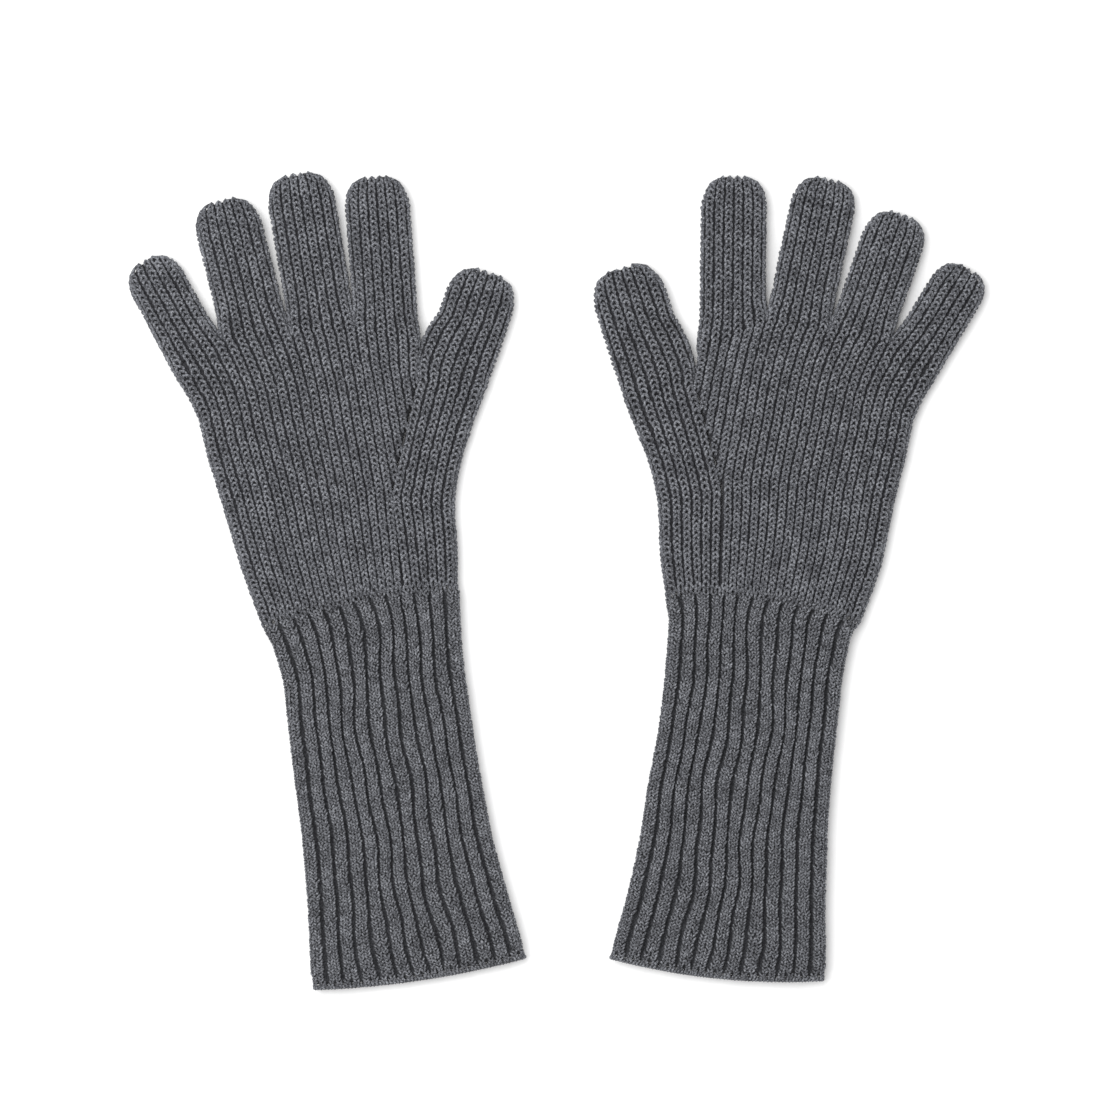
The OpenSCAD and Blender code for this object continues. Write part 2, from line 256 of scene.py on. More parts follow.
def coons(bottom, top, left, right, q, t):
    """A patch between four curves: the sum of the two ruled surfaces less the one through the corners.

    bottom and top hold a point for every q, left and right a point for every t; the corners are the
    sides' points where t is 0 and 1."""
    corner = [np.array([np.interp(end, t, line[:, 0]), np.interp(end, t, line[:, 1])])
              for line in (left, right) for end in (0, 1)]
    q, t = q[None, :, None], t[:, None, None]
    ruled = (1 - t) * bottom[None] + t * top[None] + (1 - q) * left[:, None] + q * right[:, None]
    corners = ((1 - q) * ((1 - t) * corner[0] + t * corner[1])
               + q * ((1 - t) * corner[2] + t * corner[3]))
    return ruled - corners


def round_edge(run):
    """Distance in from the edge, and share of the height, after a run round a quarter ellipse.

    A run below zero is on the lower face: the same distance, and the height with its sign turned."""
    arc = math.pi / 2 * math.sqrt((EDGE ** 2 + RISE ** 2) / 2)
    angle = np.clip(np.abs(run) / arc, 0, 1) * math.pi / 2
    inward = EDGE * (1 - np.cos(angle)) + np.clip(np.abs(run) - arc, 0, None)
    return inward, np.sin(angle) * np.sign(run)


def distance(points, line):
    """Least distance from each plan point to a line of straight stretches."""
    line = np.asarray(line, float)
    start, step = line[:-1], line[1:] - line[:-1]
    off = points[..., None, :] - start
    t = np.clip((off * step).sum(-1) / (step ** 2).sum(-1), 0, 1)
    return np.sqrt(((off - t[..., None] * step) ** 2).sum(-1)).min(-1)


def slack(points, seed):
    """Gentle waves of a soft sheet, from -1 to 1: a sum of sines with phases from the seed."""
    rng = np.random.default_rng(seed)
    total = np.zeros(points.shape[:-1])
    for wave in SLACK_WAVES:
        angle, phase = rng.uniform(0, 2 * math.pi, 2)
        reach = points[..., 0] * math.cos(angle) + points[..., 1] * math.sin(angle)
        total += np.sin(2 * math.pi * reach / wave + phase) * wave / sum(SLACK_WAVES)
    return total


def unit(vectors):
    """Vectors of length 1."""
    return vectors / np.maximum(np.linalg.norm(vectors, axis=-1, keepdims=True), 1e-9)


# ---- sheets ----

class Sheet:
    """A surface on a grid of u (columns) and v (rows), read between its points by nearness."""

    def __init__(self, points, u, v):
        self.points, self.u, self.v = points, u, v
        du = np.gradient(points, u, axis=1)
        dv = np.gradient(points, v, axis=0)
        self.normals = unit(np.cross(du, dv))

    def read(self, table, u, v):
        """The table at u and v: the mean of the four grid points around, weighed by nearness."""
        fu = (np.clip(u, self.u[0], self.u[-1]) - self.u[0]) / (self.u[1] - self.u[0])
        fv = (np.clip(v, self.v[0], self.v[-1]) - self.v[0]) / (self.v[1] - self.v[0])
        i = np.minimum(fu.astype(int), len(self.u) - 2)
        j = np.minimum(fv.astype(int), len(self.v) - 2)
        a, b = fu - i, fv - j
        if table.ndim == 3:
            a, b = a[..., None], b[..., None]
        return (table[j, i] * (1 - a) * (1 - b) + table[j, i + 1] * a * (1 - b)
                + table[j + 1, i] * (1 - a) * b + table[j + 1, i + 1] * a * b)

    def normal(self, u, v):
        """The outward direction at u and v."""
        return unit(self.read(self.normals, u, v))

    def place(self, u, v, height):
        """The point a height above the sheet at u and v."""
        return self.read(self.points, u, v) + height[..., None] * self.normal(u, v)


def under(points):
    """The lower face of a glove: the upper one mirrored through the middle height."""
    return points * np.array([1, 1, -1]) + np.array([0, 0, 2 * MID])


def columns(low, high, step=0.25):
    """Evenly spaced places from low to high, with a step near the one asked for."""
    return np.linspace(low, high, int(round((high - low) / step)) + 1)


# ---- yarn ----

def yarn(paths, ups, radius, sides):
    """A round yarn along every path: rings square to the path, closed by a face at each end.

    paths and ups are (strands, points, 3); radius is (strands, points). A ring's point is the path's
    point plus radius times (side cos a + up sin a), with a from 0 to a full turn."""
    ahead = unit(np.gradient(paths, axis=1))
    across = unit(np.cross(ahead, ups))
    rise = np.cross(across, ahead)
    a = np.arange(sides) * 2 * math.pi / sides
    ring = across[:, :, None] * np.cos(a)[:, None] + rise[:, :, None] * np.sin(a)[:, None]
    points = paths[:, :, None] + radius[:, :, None, None] * ring
    strands, count = paths.shape[:2]
    index = np.arange(strands * count * sides).reshape(strands, count, sides)
    near, far = index[:, :-1], index[:, 1:]
    quads = np.stack([near, far, np.roll(far, -1, 2), np.roll(near, -1, 2)], -1).reshape(-1, 4)
    return points.reshape(-1, 3), [quads, index[:, 0], index[:, -1, ::-1]]


def tube(points):
    """Faces of a grid (rows, around, 3) that closes on itself across, with a face at each end."""
    rows, around = points.shape[:2]
    index = np.arange(rows * around).reshape(rows, around)
    near, far = index[:-1], index[1:]
    quads = np.stack([near, np.roll(near, -1, 1), np.roll(far, -1, 1), far], -1).reshape(-1, 4)
    return points.reshape(-1, 3), [quads, index[:1, ::-1], index[-1:]]


def piece(name, side, parts):
    """One mesh in the frame, at the origin, from parts of ((points in mm, faces), material)."""
    points, loops, sizes, slots, materials = [], [], [], [], []
    start = 0
    for (part_points, faces), material in parts:
        if material not in materials:
            materials.append(material)
        for group in faces:
            group = group if GLOVES[side]["turn"] > 0 else group[:, ::-1]
            loops.append((group + start).ravel())
            sizes.append(np.full(len(group), group.shape[1]))
            slots.append(np.full(len(group), materials.index(material)))
        points.append(part_points)
        start += len(part_points)
    co = to_frame(side, np.concatenate(points)).astype(np.float32)
    loops, sizes, slots = np.concatenate(loops), np.concatenate(sizes), np.concatenate(slots)
    mesh = bpy.data.meshes.new(name)
    mesh.vertices.add(len(co))
    mesh.vertices.foreach_set("co", co.ravel())
    mesh.loops.add(len(loops))
    mesh.loops.foreach_set("vertex_index", loops.astype(np.int32))
    mesh.polygons.add(len(sizes))
    mesh.polygons.foreach_set("loop_start", (np.cumsum(sizes) - sizes).astype(np.int32))
    mesh.polygons.foreach_set("loop_total", sizes.astype(np.int32))
    mesh.update(calc_edges=True)
    mesh.polygons.foreach_set("material_index", slots.astype(np.int32))
    mesh.polygons.foreach_set("use_smooth", np.ones(len(sizes), bool))
    for material in materials:
        mesh.materials.append(material)
    obj = bpy.data.objects.new(name, mesh)
    bpy.context.scene.collection.objects.link(obj)
    return obj


def lower(part):
    """A part's copy on the lower face, with its faces turned so that they still point outwards."""
    points, faces = part
    return under(points), [group[:, ::-1] for group in faces]


# ---- stitches ----

def arch_path():
    """One plain stitch in wales and courses: up one leg, over a raised head and down the other leg.

    The arms slope like a roof, so that the stitches of a column nest, and the legs end low, under
    the head of the stitch below."""
    across = np.array([-0.15, -0.23, -0.3, -0.18, 0.0, 0.18, 0.3, 0.23, 0.15])
    up = np.array([-0.95, -0.6, -0.18, 0.24, 0.5, 0.24, -0.18, -0.6, -0.95])
    height = np.array([-0.6, -0.25, 0.06, 0.32, 0.42, 0.32, 0.06, -0.25, -0.6])
    return across, up, height * YARN


def vee_path():
    """One rib stitch in ribs and rows: two straight legs that meet low in the middle."""
    across = np.array([-0.155, -0.095, 0.0, 0.095, 0.155])
    up = np.array([0.62, 0.08, -0.5, 0.08, 0.62])
    height = np.array([0.1, 0.35, -0.15, 0.35, 0.1])
    return across, up, height * RIB_YARN


def edge_path():
    """The stitch along a rounded edge: an arch that hardly stands out, so that the edge is even."""
    across, up, height = arch_path()
    return across, up, height * EDGE_STAND


def stitches(sheet, u, v, path, thickness, sides, seed):
    """Yarn for a stitch centred at every u and v, each a little off its place and thickness."""
    across, up, height = path
    rng = np.random.default_rng(seed)
    off = rng.normal(0, 1, (5, len(u), 1))
    uu = u[:, None] + across * (1 + OFF_WIDTH * off[0]) + OFF_ACROSS * off[1]
    vv = v[:, None] + up + OFF_UP * off[2]
    hh = height + OFF_HEIGHT * thickness * off[3]
    paths = sheet.place(uu, vv, hh)
    radius = np.broadcast_to(thickness / 2 * (1 + OFF_YARN * off[4]), uu.shape)
    return yarn(paths, sheet.normal(uu, vv), radius, sides)


def plain(sheet, u, v, path, seed):
    """Stitches of the plain knit's yarn, with their material."""
    return stitches(sheet, u, v, path, YARN, YARN_SIDES, seed), WOOL


def rib(sheet, u, v, seed):
    """Stitches of the rib's yarn, with their material."""
    return stitches(sheet, u, v, vee_path(), RIB_YARN, RIB_SIDES, seed), RIB_WOOL


def under_too(make, *places, seed):
    """The same stitches on the upper and on the lower face, each face with its own small errors."""
    upper = make(*places, seed)
    below, material = make(*places, seed + 1)
    return [upper, (lower(below), material)]


def grid(u_list, v_list):
    """Every pairing of the two lists, as two flat arrays."""
    u, v = np.meshgrid(np.asarray(u_list, float), np.asarray(v_list, float))
    return u.ravel(), v.ravel()


# ---- materials ----

def noise(nodes, links, place, scale, detail, rough):
    """A cloud of noise over the piece's own space."""
    cloud = nodes.new("ShaderNodeTexNoise")
    cloud.inputs["Scale"].default_value = scale
    cloud.inputs["Detail"].default_value = detail
    cloud.inputs["Roughness"].default_value = rough
    links.new(place.outputs["Object"], cloud.inputs["Vector"])
    return cloud.outputs["Fac"]


def heather(name, dark, body, light):
    """Heather wool: fine flecks pick from dark to light fibres, and broad clouds shift the mix."""
    material = bpy.data.materials.new(name)
    material.use_nodes = True
    nodes, links = material.node_tree.nodes, material.node_tree.links
    shader = next(n for n in nodes if n.type == "BSDF_PRINCIPLED")
    place = nodes.new("ShaderNodeTexCoord")
    fleck = noise(nodes, links, place, FLECK, detail=3, rough=0.75)
    cloud = noise(nodes, links, place, FLECK / CLOUD, detail=2, rough=0.6)
    mix = nodes.new("ShaderNodeMath")
    mix.operation = "MULTIPLY_ADD"
    links.new(cloud, mix.inputs[0])
    mix.inputs[1].default_value = CLOUD_SHARE
    links.new(fleck, mix.inputs[2])
    ramp = nodes.new("ShaderNodeValToRGB")
    ramp.color_ramp.elements[0].position = FIBRES[0]
    ramp.color_ramp.elements[0].color = (*dark, 1)
    ramp.color_ramp.elements[1].position = FIBRES[2]
    ramp.color_ramp.elements[1].color = (*light, 1)
    middle = ramp.color_ramp.elements.new(FIBRES[1])
    middle.color = (*body, 1)
    links.new(mix.outputs["Value"], ramp.inputs["Fac"])
    links.new(ramp.outputs["Color"], shader.inputs["Base Color"])
    shader.inputs["Roughness"].default_value = 0.92
    shader.inputs["Specular IOR Level"].default_value = 0.12
    shader.inputs["Sheen Weight"].default_value = 0.06
    shader.inputs["Sheen Roughness"].default_value = 0.6
    return material


WOOL = heather("heather_wool", (0.021, 0.022, 0.025), (0.08, 0.082, 0.092), (0.29, 0.3, 0.325))
RIB_WOOL = heather("heather_rib_wool", (0.019, 0.02, 0.023), (0.086, 0.088, 0.098), (0.3, 0.31, 0.335))
# Painted shade: a much darker copy of the wool for the cuff's lining, so that the grooves between the ribs
# read as shaded.
GROOVE_SHADE = heather("groove_wool", (0.012, 0.012, 0.014), (0.026, 0.027, 0.03), (0.07, 0.071, 0.079))
# Painted shade: a near-black copy of the wool for the inside, seen between the stitches of the plain knit.
INSIDE_SHADE = heather("inside_shade", (0.012, 0.012, 0.014), (0.022, 0.022, 0.025), (0.05, 0.05, 0.056))


# ---- hand ----

def wrist_rise(glove, share):
    """How far the wrist line bows to the fingers: a flat-topped arch over its straight chord."""
    return glove["wrist_bow"] * (1 - np.abs(2 * share - 1) ** 4)


def wrist_point(glove, share):
    """Points of the bowed wrist line at shares of its width from the outer end to the thumb's."""
    first, last = np.asarray(glove["outer"][0]), np.asarray(glove["thumb_side"][0])
    share = np.asarray(share, float)
    rise = np.stack([0 * share, wrist_rise(glove, share)], -1)
    return first + (last - first) * share[..., None] + rise


def wrist_share(glove, inward):
    """Share of the wrist's width at a distance in from its thumb end."""
    return 1 - inward / (glove["thumb_side"][0][0] - glove["outer"][0][0])


def main_edge(glove):
    """The line past the last palm stitch, from the wrist up to the fork of thumb and index."""
    start = tuple(wrist_point(glove, wrist_share(glove, MAIN_IN)))
    point = glove["point"]
    return [start, (point[0] + MAIN_PAST, point[1]), glove["thumb_root"][0], glove["forks"][-1]]


def gusset_edge(glove):
    """The line where the palm's stitches end: wrist, the gusset's point, the thumb's fork."""
    start = tuple(wrist_point(glove, wrist_share(glove, GUSSET_IN)))
    return [start, glove["point"], glove["thumb_root"][0]]


def across_share(u, total):
    """Share of the width, and of the height, u wales from a rounded edge, of total wales."""
    inward, height = round_edge(u * WALE)
    return inward / round_edge(np.array(total * WALE))[0], height


def crease(plan, glove):
    """How deep the crease of the gusset's line is at a plan point: a bell across the line."""
    return CREASE * np.exp(-(distance(plan, gusset_edge(glove)[1:]) / CREASE_WIDE) ** 2)


def lifted(plan, height, glove):
    """Plan points with their height: the share of the rise, less the crease, with gentle waves."""
    notch = [glove["forks"][-1], glove["thumb_root"][0]]
    level = np.sqrt(1 - (1 - np.minimum((distance(plan, notch) + NOTCH_START) / EDGE, 1)) ** 2)
    z = MID + height * (RISE * level - crease(plan, glove) + WAVES * slack(plan, SHEET_SEED))
    return np.concatenate([plan, z[..., None]], -1)


def palm_sheet(side):
    """The palm: a patch between the wrist, the outer edge, the finger roots and the last stitch."""
    glove = GLOVES[side]
    wales = sum(FINGER_WALES[f] for f in FINGERS) + 0.5
    courses = round((glove["forks"][2][1] - glove["outer"][0][1]) / COURSE / ROWS_TALLER)
    u = columns(-TURN_UNDER, wales)
    v = columns(-1, courses, 0.5)
    q, height = across_share(u, wales)
    knots = np.cumsum([0] + [FINGER_WALES[f] for f in FINGERS]) + 0.5
    knots[0] = 0
    knot_q = across_share(knots, wales)[0]
    forks = np.asarray(glove["forks"], float)
    top = np.stack([np.interp(q, knot_q, forks[:, 0]), np.interp(q, knot_q, forks[:, 1])], -1)
    t = v / courses
    left = side_curve(glove["outer"], t, last=forks[0])
    edge = np.asarray(main_edge(glove))
    right = by_height(edge, edge[0, 1] + (edge[-1, 1] - edge[0, 1]) * t)
    bottom = wrist_point(glove, q * wrist_share(glove, MAIN_IN))
    plan = coons(bottom, top, left, right, q, t)
    plan[..., 0] += INSET * (1 - q)
    return Sheet(lifted(plan, height, glove), u, v), courses, wales


def gusset_sheet(side):
    """The thumb's gusset: a patch from the thumb side's rounded edge, where u is 0, to the palm."""
    glove = GLOVES[side]
    wales = FINGER_WALES["thumb"] + 0.5
    courses = round((glove["thumb_root"][1][1] - glove["thumb_side"][0][1]) / COURSE)
    u = columns(-TURN_UNDER, wales)
    v = columns(-1, courses, 0.5)
    q, height = across_share(u, wales)
    t = v / courses
    outer = side_curve(glove["thumb_side"], t, last=glove["thumb_root"][1])
    edge = np.asarray(gusset_edge(glove))
    inner = by_height(edge, edge[0, 1] + (edge[-1, 1] - edge[0, 1]) * t)
    bottom = wrist_point(glove, 1 - q * (1 - wrist_share(glove, GUSSET_IN)))
    top = outer[-1] + (inner[-1] - outer[-1]) * q[:, None]
    plan = coons(bottom, top, outer, inner, q, t)
    plan[..., 0] -= INSET * (1 - q)
    return Sheet(lifted(plan, height, glove)[:, ::-1], -u[::-1], v), courses, wales


def ring_rows(sheet, start, stop, v, depth, count=49):
    """Closed rings round both faces: the sheet sunk by a depth from u start to stop of each row v."""
    start = np.broadcast_to(start, v.shape)[:, None]
    stop = np.broadcast_to(stop, v.shape)[:, None]
    u = start + (stop - start) * np.linspace(0, 1, count)
    top = sheet.place(u, np.broadcast_to(v[:, None], u.shape), np.full(u.shape, -float(depth)))
    return np.concatenate([top, under(top)[:, ::-1]], 1)


def lining(sheet, start, stop, low, high):
    """The dark inside of a flat piece, a sheet of painted shade, from row low to high, as a tube with
    closed ends.
    """
    return tube(ring_rows(sheet, start, stop, columns(low, high, 1.0), LINING))


def palm_end(glove, sheet, v):
    """Where each row of the palm meets the gusset's line, in wales."""
    u = columns(sheet.u[0], sheet.u[-1], 0.1)
    uu, vv = np.meshgrid(u, v)
    plan = sheet.read(sheet.points, uu, vv)
    edge = np.asarray(gusset_edge(glove))
    inside = plan[..., 0] < np.interp(plan[..., 1], edge[:, 1], edge[:, 0])
    return u[np.maximum(inside.sum(1) - 1, 0)]


def hand_piece(side):
    """The hand: stitches of both faces up to the gusset's line, a column up the outer edge."""
    glove = GLOVES[side]
    sheet, courses, wales = palm_sheet(side)
    rows = np.arange(courses) + 0.5
    u, v = grid(np.arange(1, int(wales) + 1), rows)
    keep = u < np.interp(v, rows, palm_end(glove, sheet, rows)) + PALM_PAST
    u, v = u[keep], v[keep]
    seed = SEEDS["hand"]
    parts = under_too(plain, sheet, u, v, arch_path(), seed=seed)
    parts.append(plain(sheet, np.zeros(courses), rows, edge_path(), seed + 2))
    ends = palm_end(glove, sheet, columns(0, courses, 1.0))
    parts.append((lining(sheet, 0.0, ends, 0, courses), INSIDE_SHADE))
    return piece(f"{side}_hand_knit", side, parts)


def gusset_piece(side):
    """The thumb's gusset: its own columns beside the palm's last ones, and one up the thumb edge."""
    sheet, courses, wales = gusset_sheet(side)
    rows = np.arange(courses) + 0.5
    u, v = grid(-np.arange(1, int(wales) + 1), rows)
    seed = SEEDS["gusset"]
    parts = under_too(plain, sheet, u, v, arch_path(), seed=seed)
    parts.append(plain(sheet, np.zeros(courses), rows, edge_path(), seed + 2))
    parts.append((lining(sheet, -wales, 0.0, 0, courses), INSIDE_SHADE))
    return piece(f"{side}_thumb_gusset_knit", side, parts)


# ---- digits ----

def flat_oval(half, rise, run):
    """Sideways place and height on a flattened oval, a run along it from the middle of its top.

    The oval is (x/half)^OVAL_POWER + (z/rise)^OVAL_POWER = 1; its own length is summed over short
    chords. Row n reads from n to n + 1, short of its end, so one reading serves all the rows."""
    last, end = 0.999, 0.9995
    angle = np.linspace(-math.pi / 2, 3 * math.pi / 2, OVAL_STEPS + 1)
    c, s = np.sin(angle), np.cos(angle)
    x = half[:, None] * np.sign(c) * np.abs(c) ** (2 / OVAL_POWER)
    z = rise[:, None] * np.sign(s) * np.abs(s) ** (2 / OVAL_POWER)
    step = np.hypot(np.diff(x, axis=1), np.diff(z, axis=1))
    length = np.concatenate([np.zeros((len(half), 1)), np.cumsum(step, 1)], 1)
    top = length[:, [OVAL_STEPS // 4]]
    full = length[:, -1:]
    row = np.arange(len(half))[:, None]
    at = np.clip((run + top) / full, 0, last) + row
    key = (np.minimum(length / full, end) + row).ravel()
    return np.interp(at, key, x.ravel()), np.interp(at, key, z.ravel()), full[:, 0]


def digit_frame(side, digit):
    """Where a digit starts, its sideways and forward directions, its length and its half width."""
    joint = JOINTS[f"{side}_{digit}_bend"]
    origin = to_glove(side, joint["pos_m"][:2])
    axis = np.array([joint["axis"][0] * GLOVES[side]["turn"], joint["axis"][1]])
    across = axis * np.sign(axis[0])
    ahead = np.array([-across[1], across[0]])
    mesh = frame["nodes"][f"{side}_{digit}"].data
    co = np.empty(len(mesh.vertices) * 3, np.float32)
    mesh.vertices.foreach_get("co", co)
    off = to_glove(side, co.reshape(-1, 3)[:, :2]) - origin
    return origin, across, ahead, (off @ ahead).max(), np.abs(off @ across).max()


def digit_sheet(side, digit):
    """A digit's upper face, which carries on round both sides.

    At the root the columns share out the root line as the palm's do; from MORPH on they are spaced
    by their own width round a flattened oval. The end rounds as the half width falls to a share."""
    glove = GLOVES[side]
    origin, across, ahead, length, half = digit_frame(side, digit)
    wales = FINGER_WALES[digit]
    if digit == "thumb":
        roots = np.asarray(glove["thumb_root"], float)
    else:
        i = FINGERS.index(digit)
        roots = np.asarray(glove["forks"][i:i + 2], float)
    root_off = roots - origin
    root_half = abs((root_off[1] - root_off[0]) @ across) / 2
    root_t = root_off @ ahead
    courses = round(length / COURSE)
    u = columns(-2, wales + 3)
    v = columns(-1, courses, 0.5)
    share = v / courses
    end = length - TIP_REACH
    t = np.clip(share, 0, 1) * end
    tip = half * TIP_ROUND
    x = np.clip((t - (end - tip)) / tip, 0, 1)
    width = root_half + (half - root_half) * np.sin(math.pi / 2 * np.clip(t / SWELL, 0, 1))
    width = width * (TIP_FLAT + (1 - TIP_FLAT) * np.sqrt(1 - x ** 2)) - INSET
    rise = RISE * np.sqrt(1 - TIP_DROP * x ** TIP_POWER)
    full = flat_oval(width, rise, np.zeros((len(t), 1)))[2]
    normal_full = full[np.argmax(width)]
    centre = (wales + 1) / 2
    pitch = normal_full / (2 * (wales + 1)) * (1 - PITCH_GIVE + PITCH_GIVE * full / normal_full)
    free_x, free_z, _ = flat_oval(width, rise, (u - centre) * pitch[:, None])
    side_u = full / 4 / pitch
    low = root_edge(u, wales, digit == "little")
    high = root_edge(wales + 1 - u, wales, digit == "thumb")
    root_q = np.where(u < centre, low[0], 1 - high[0])
    if digit in ("little", "thumb"):
        root_q = low[0] if digit == "little" else 1 - high[0]
    root_z = np.minimum(low[1], high[1]) * RISE
    mix = ease(t, 0, MORPH)[:, None]
    q = (1 - mix) * root_q + mix * (free_x / width[:, None] + 1) / 2
    z = (1 - mix) * root_z + mix * free_z
    low_in = INSET if digit == "little" else 0
    high_in = INSET if digit == "thumb" else 0
    fade = 1 - mix
    left = -(width[:, None] + INSET * fade) + low_in * fade
    if digit == "thumb":
        left -= glove["thumb_web"] * np.sin(math.pi * np.clip(t / WEB, 0, 1) ** WEB_POWER)[:, None]
    right = width[:, None] + INSET * fade - high_in * fade
    sideways = left + (right - left) * q
    root_along = root_t[0] + (root_t[1] - root_t[0]) * q
    forward = root_along * (1 - share[:, None]) + end * share[:, None]
    plan = origin + sideways[..., None] * across + forward[..., None] * ahead
    z = MID + z + WAVES * slack(plan, SHEET_SEED) * z / RISE
    return Sheet(np.concatenate([plan, z[..., None]], -1), u, v), courses, centre, side_u


def root_edge(u, wales, rounded):
    """Share of the root's width and of the height, u wales in from one end of the root line.

    A rounded end goes round the glove's edge; any other end stands as a short wall in a fork."""
    if rounded:
        q, z = across_share(u, wales + 0.5)
        return np.minimum(q, 1), z
    return np.clip((np.abs(u) - 0.5) / wales, 0, 1), np.clip(u / 0.5, -1, 1)


def digit_piece(side, digit):
    """A digit: columns of stitches on both faces as far as the rounded end lets them, one column
    along each side, and the dark inside, a sheet of painted shade."""
    sheet, courses, centre, side_u = digit_sheet(side, digit)
    wales = FINGER_WALES[digit]
    rows = np.arange(courses) + 0.5
    reach = np.interp(rows, sheet.v, side_u)
    u, v = grid(np.arange(1, wales + 1), rows)
    keep = np.abs(u - centre) < np.interp(v, rows, reach) - SIDE_CLEAR
    u, v = u[keep], v[keep]
    seed = SEEDS["digit"] + 5 * DIGITS.index(digit)
    parts = under_too(plain, sheet, u, v, arch_path(), seed=seed)
    for turn in (-1, 1):
        edge = centre + turn * reach
        parts.append(plain(sheet, edge, rows, edge_path(), seed + 2 + turn))
    ends = np.interp(columns(0, courses, 1.0), sheet.v, side_u)
    parts.append((lining(sheet, centre - ends, centre + ends, 0, courses), INSIDE_SHADE))
    return piece(f"{side}_{digit}_knit", side, parts)


# ---- cuff ----

def rib_height(u):
    """A rib's height over its groove at u ribs: a full round back that falls steeply to each groove."""
    return np.clip(1 - np.abs(2 * (u % 1) - 1) ** RIB_FLAT, 0, 1) ** RIB_FALL


def cuff_plan(side, q, t):
    """Plan points of the cuff at share q across and t down from the wrist line to the bowed hem."""
    glove = GLOVES[side]
    left = side_curve(glove["cuff_outer"], t)
    right = side_curve(glove["cuff_thumb"], t)
    left[..., 0] += INSET
    right[..., 0] -= INSET
    hem = unit(right[-1] - left[-1])
    q = np.broadcast_to(q, (len(t), np.shape(q)[-1]))
    bow = glove["hem_bow"] * ease(t, HEM_FROM, 1)[:, None] * 4 * q * (1 - q)
    rise = wrist_rise(glove, q) * (1 - ease(t, 0, WRIST_TO))[:, None]
    shift = bow[..., None] * np.array([hem[1], -hem[0]]) + rise[..., None] * np.array([0, 1])
    return left[:, None] + (right - left)[:, None] * q[..., None] + shift


def both_edges(u, total, pitch):
    """Share of the width, and of the height, u columns along a strip rounded at both edges."""
    near_in, near_z = round_edge(u * pitch)
    far_in, far_z = round_edge((total - u) * pitch)
    whole = 2 * round_edge(np.array(total / 2 * pitch))[0]
    q = np.where(u < total / 2, near_in, whole - far_in) / whole
    return q, np.where(u < total / 2, near_z, far_z)


def cuff_length(side):
    """Length of the cuff down its outer edge, from the wrist line to the hem."""
    line = np.asarray(GLOVES[side]["cuff_outer"], float)
    return np.hypot(*np.diff(line, axis=0).T).sum()


def cuff_sheet(side, down, up, share, count=RIBS, pitch=RIB):
    """The cuff between two distances up from the hem, in columns of a pitch, v counted in rows.

    Its edges round over as a quarter ellipse, and the ribs stand on it along its own normals, at
    the share of their height that share(distance up from the hem) gives."""
    total = cuff_length(side)
    rows = round((up - down) / RIB_COURSE)
    u = columns(-0.5, count + 0.5, 1 / RIB_STEPS)
    v = columns(-1, rows + 1, 0.5)
    run = down + (up - down) * v / rows
    straight = cuff_plan(side, both_edges(u, count, pitch)[0], 1 - run / total)
    sway = SWAY * slack(straight, SWAY_SEED) * np.sin(math.pi * np.clip(u / count, 0, 1))
    q, height = both_edges(u + sway, count, pitch)
    plan = cuff_plan(side, q, 1 - run / total)
    stand = RIB_RISE * rib_height(u) * share(run[:, None])
    z = MID + height * (RISE - RIB_RISE + RIB_LIFT + WAVES * slack(plan, CUFF_SEED))
    flat = Sheet(np.concatenate([plan, z[..., None]], -1), u, v)
    return Sheet(flat.points + flat.normals * stand[..., None], u, v), rows


def rib_share(run):
    """Share of the ribs' height at a distance up from the hem: they sink to the cast-on edge."""
    return RIB_LEFT + (1 - RIB_LEFT) * ease(run, *RIB_FADE)


def cuff_pieces(side):
    """The cuff: rib stitches of each face as its own piece, on a lining of painted shade, a much darker
    copy of the wool, with an open mouth.

    The lining's rings run down the inside from the wrist to the hem and back up the outside."""
    sheet, rows = cuff_sheet(side, HEM, cuff_length(side) - JOIN, rib_share)
    places = (np.arange(RIBS)[:, None] + np.array(VEES)).ravel()
    u, v = grid(places, np.arange(rows) + 0.5)
    upper, below = under_too(rib, sheet, u, v, seed=SEEDS["cuff"])
    count = RIB_STEPS * RIBS + 1
    down = columns(-1, rows, 1.0)
    outer = ring_rows(sheet, 0, RIBS, down, RIB_LINING, count)
    inner = ring_rows(sheet, MOUTH_IN, RIBS - MOUTH_IN, down[::-1], RIB_LINING + MOUTH_WALL, count)
    inside = tube(np.concatenate([inner, outer]))
    return [piece(f"{side}_cuff_upper_rib", side, [upper, (inside, GROOVE_SHADE)]),
            piece(f"{side}_cuff_under_rib", side, [below])]


def coil(core, out, radius, turns, steps):
    """A line wound round a core: core + radius (out cos a + up sin a), a turning evenly."""
    share = np.linspace(0, 1, turns * steps + 1)
    at = share * (len(core) - 1)
    middle = np.stack([np.interp(at, np.arange(len(core)), core[:, k]) for k in range(3)], -1)
    away = unit(np.stack([np.interp(at, np.arange(len(core)), out[:, k]) for k in range(3)], -1))
    ahead = unit(np.gradient(middle, axis=0))
    up = np.cross(ahead, away)
    a = share[:, None] * turns * 2 * math.pi
    return middle + radius * (away * np.cos(a) + up * np.sin(a)), away


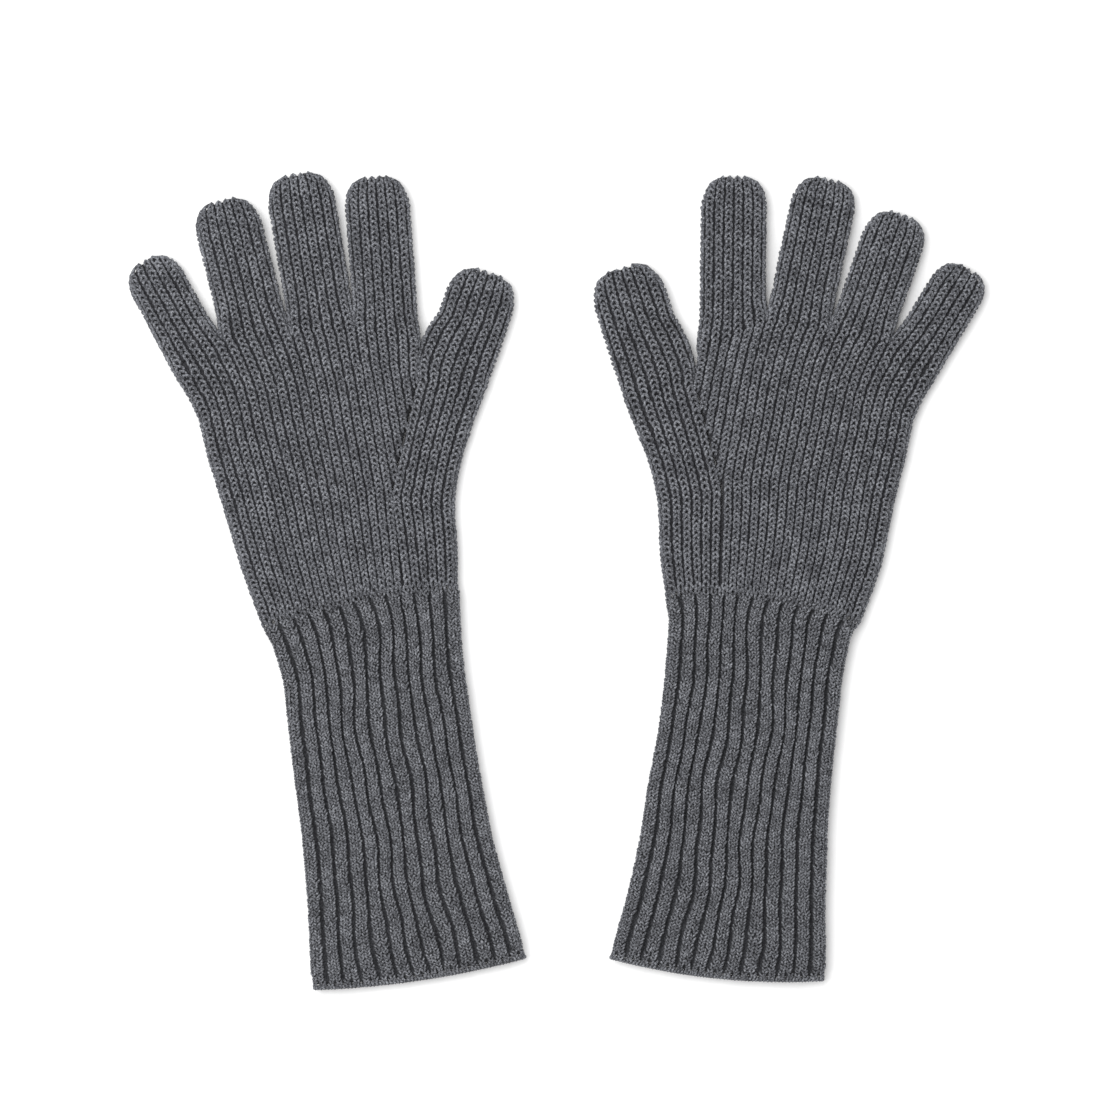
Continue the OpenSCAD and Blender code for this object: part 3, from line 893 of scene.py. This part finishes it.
def hem_piece(side):
    """The cast-on edge: two short rows on each face and a yarn wound round the lip of the mouth."""
    sheet, rows = cuff_sheet(side, LIP, HEM, lambda run: RIB_LEFT + 0 * run)
    places = (np.arange(2 * RIBS) + 0.5) / 2
    u, v = grid(places, np.arange(rows) + 0.5)
    seed = SEEDS["hem"]
    parts = under_too(rib, sheet, u, v, seed=seed)
    across = np.linspace(0, RIBS, LIP_POINTS * RIBS + 1)
    row = np.full(across.shape, -LIP_SINK)
    top = sheet.place(across, row, np.full(row.shape, -LIP_SINK))
    out = sheet.normal(across, row)
    core = np.concatenate([top, under(top)[::-1][1:]])
    away = np.concatenate([out, (out * np.array([1, 1, -1]))[::-1][1:]])
    bumps = LIP_OFF * np.random.default_rng(seed + 2).normal(0, 1, len(core))
    bumps = np.convolve(bumps, np.ones(LIP_SPREAD) / LIP_SPREAD, "same")
    line = core + bumps[:, None] * away
    path, ups = coil(line, away, COIL_REACH * RIB_YARN, COIL_TURNS * RIBS, COIL_STEPS)
    radius = np.full((1, len(path)), RIB_YARN / 2)
    parts.append((yarn(path[None], ups[None], radius, YARN_SIDES), RIB_WOOL))
    return piece(f"{side}_cuff_edge_knit", side, parts)


def join_piece(side):
    """The join: one row of plain stitches on each face, over the tops of the ribs."""
    total = cuff_length(side)
    wales = WRIST_WALES
    pitch = (round_edge(np.array(RIBS / 2 * RIB))[0] * 2 + JOIN_WIDER) / wales
    sheet, rows = cuff_sheet(side, total - JOIN, total, lambda run: JOIN_RIB + 0 * run, wales, pitch)
    u = np.arange(wales) + 0.5
    v = np.full(wales, rows * JOIN_AT)
    across, up, height = arch_path()
    path = (across, up * JOIN / (JOIN_TALL * RIB_COURSE), height * JOIN_STAND)
    parts = under_too(plain, sheet, u, v, path, seed=SEEDS["join"])
    return piece(f"{side}_wrist_join_knit", side, parts)


# ---- building ----

def make_glove(side):
    """Every piece of one glove; the hand, the gusset and the join go on the hand's body, the digits and the
    cuff stay loose in the frame.
    """
    hand = f"{side}_hand"
    for obj, node in ((hand_piece(side), hand), (gusset_piece(side), f"{side}_thumb_gusset")):
        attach(obj, hand)
        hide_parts(node)
    for digit in DIGITS:
        obj = digit_piece(side, digit)
        origin, _, ahead, _, _ = digit_frame(side, digit)
        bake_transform(obj)
        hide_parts(f"{side}_{digit}")
    join = join_piece(side)
    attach(join, hand)
    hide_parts(f"{side}_wrist_join")
    hinge = JOINTS[f"{side}_cuff_fold"]
    middle = to_glove(side, hinge["pos_m"][:2])
    hem = cuff_plan(side, np.array([0.5]), np.array([1.0]))[0, 0]
    ahead = unit(hem - middle)
    upper, below = cuff_pieces(side)
    edge = hem_piece(side)
    for obj, node, slot in ((upper, "cuff", "rib_knit"), (below, "cuff", "rib_knit"),
                            (edge, "cuff_edge", "edge_knit")):
        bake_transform(obj)
        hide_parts(f"{side}_{node}")


def light(name, size, power, place, turn):
    """A soft square lamp of that size in metres and power in watts."""
    lamp = bpy.data.lights.new(name, "AREA")
    lamp.shape = "SQUARE"
    lamp.size = size
    lamp.energy = power
    obj = bpy.data.objects.new(name, lamp)
    obj.location = place
    obj.rotation_euler = turn
    bpy.context.scene.collection.objects.link(obj)


def stage():
    """A plain pale floor, soft light from above and a long lens straight above the pair."""
    scene = bpy.context.scene
    floor_mesh = bpy.data.meshes.new("floor")
    reach = 3.0
    floor_mesh.from_pydata([(-reach, -reach, 0), (reach, -reach, 0), (reach, reach, 0), (-reach, reach, 0)],
                           [], [(0, 1, 2, 3)])
    floor = bpy.data.objects.new("floor", floor_mesh)
    scene.collection.objects.link(floor)
    paper = bpy.data.materials.new("paper")
    paper.use_nodes = True
    shader = next(n for n in paper.node_tree.nodes if n.type == "BSDF_PRINCIPLED")
    shader.inputs["Base Color"].default_value = (0.92, 0.92, 0.92, 1)
    shader.inputs["Roughness"].default_value = 1.0
    shader.inputs["Specular IOR Level"].default_value = 0.0
    floor_mesh.materials.append(paper)
    world = bpy.data.worlds.new("studio")
    world.use_nodes = True
    back = next(n for n in world.node_tree.nodes if n.type == "BACKGROUND")
    back.inputs["Color"].default_value = (1, 1, 1, 1)
    back.inputs["Strength"].default_value = SKY
    scene.world = world
    light("window", size=1.3, power=22, place=(-0.5, 0.25, 1.3), turn=(-0.19, -0.37, 0))
    camera = bpy.data.objects.new("camera", bpy.data.cameras.new("camera"))
    height = 2.4
    sensor = 36
    camera.location = (*VIEW_AT, height)
    camera.data.sensor_width = sensor
    camera.data.lens = sensor * (height - MID * MM) / VIEW_WIDE
    camera.data.clip_end = 20
    scene.collection.objects.link(camera)
    scene.camera = camera
    scene.view_settings.view_transform = "Standard"


stage()
for glove_side in GLOVES:
    make_glove(glove_side)
